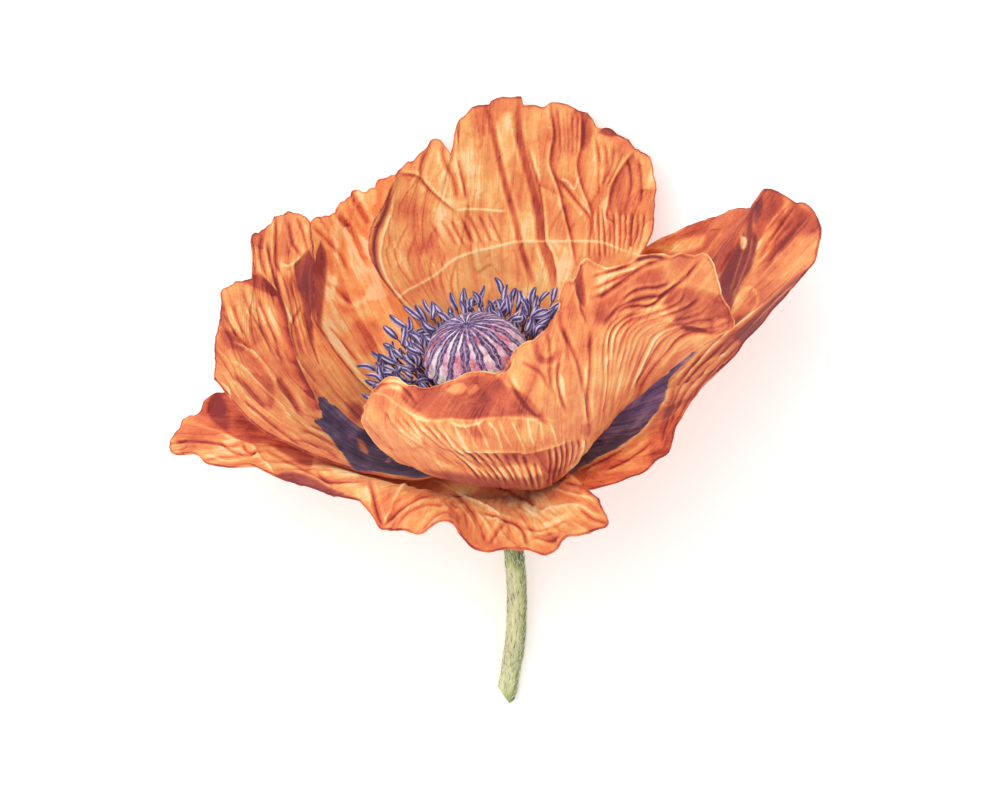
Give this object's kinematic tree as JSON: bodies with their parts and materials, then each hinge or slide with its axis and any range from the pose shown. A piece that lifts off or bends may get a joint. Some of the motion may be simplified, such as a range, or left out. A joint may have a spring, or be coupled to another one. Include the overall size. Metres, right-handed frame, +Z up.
{
  "type": "poppy flower",
  "caption": "Cut poppy flower with large crumpled petals round a ribbed domed seed capsule and dark stamens, on a short curved stem, lying on its side.",
  "frame": {"origin": "centre of the bounding box at its foot, on the surface that the flower lies on", "axes": "+Z up from the surface, +Y from the cut end of the stem towards the back petal, +X across the flower, to the right when it is seen from above with the stem pointing down"},
  "size_m": [0.1501, 0.1402, 0.0936],
  "materials": {
    "inner_petal": "papery orange with dark red folds and cream creases, purple-black blotch at the base",
    "outer_petal": "papery deep orange with dark red folds, purple-black blotch at the base",
    "stem": "hairy light green",
    "capsule": "matte lilac pink with dark purple velvety rays and a pale green rim",
    "stamen": "matte blue-violet, dusted with pollen"
  },
  "bodies": {
    "root": {"petal_back": "inner_petal", "petal_back_left": "outer_petal", "petal_left": "inner_petal", "petal_outer_front": "outer_petal", "petal_inner_front": "inner_petal", "petal_right": "outer_petal", "stem": "stem", "seed_capsule": "capsule", "stamen_01": "stamen", "stamen_02": "stamen", "stamen_03": "stamen", "stamen_04": "stamen", "stamen_05": "stamen", "stamen_06": "stamen", "stamen_07": "stamen", "stamen_08": "stamen", "stamen_09": "stamen", "stamen_10": "stamen", "stamen_11": "stamen", "stamen_12": "stamen", "stamen_13": "stamen", "stamen_14": "stamen", "stamen_15": "stamen", "stamen_16": "stamen", "stamen_17": "stamen", "stamen_18": "stamen", "stamen_19": "stamen", "stamen_20": "stamen", "stamen_21": "stamen", "stamen_22": "stamen", "stamen_23": "stamen", "stamen_24": "stamen", "stamen_25": "stamen", "stamen_26": "stamen", "stamen_27": "stamen", "stamen_28": "stamen", "stamen_29": "stamen", "stamen_30": "stamen", "stamen_31": "stamen", "stamen_32": "stamen", "stamen_33": "stamen", "stamen_34": "stamen", "stamen_35": "stamen", "stamen_36": "stamen", "stamen_37": "stamen", "stamen_38": "stamen", "stamen_39": "stamen", "stamen_40": "stamen", "stamen_41": "stamen", "stamen_42": "stamen"}
  },
  "joints": []
}
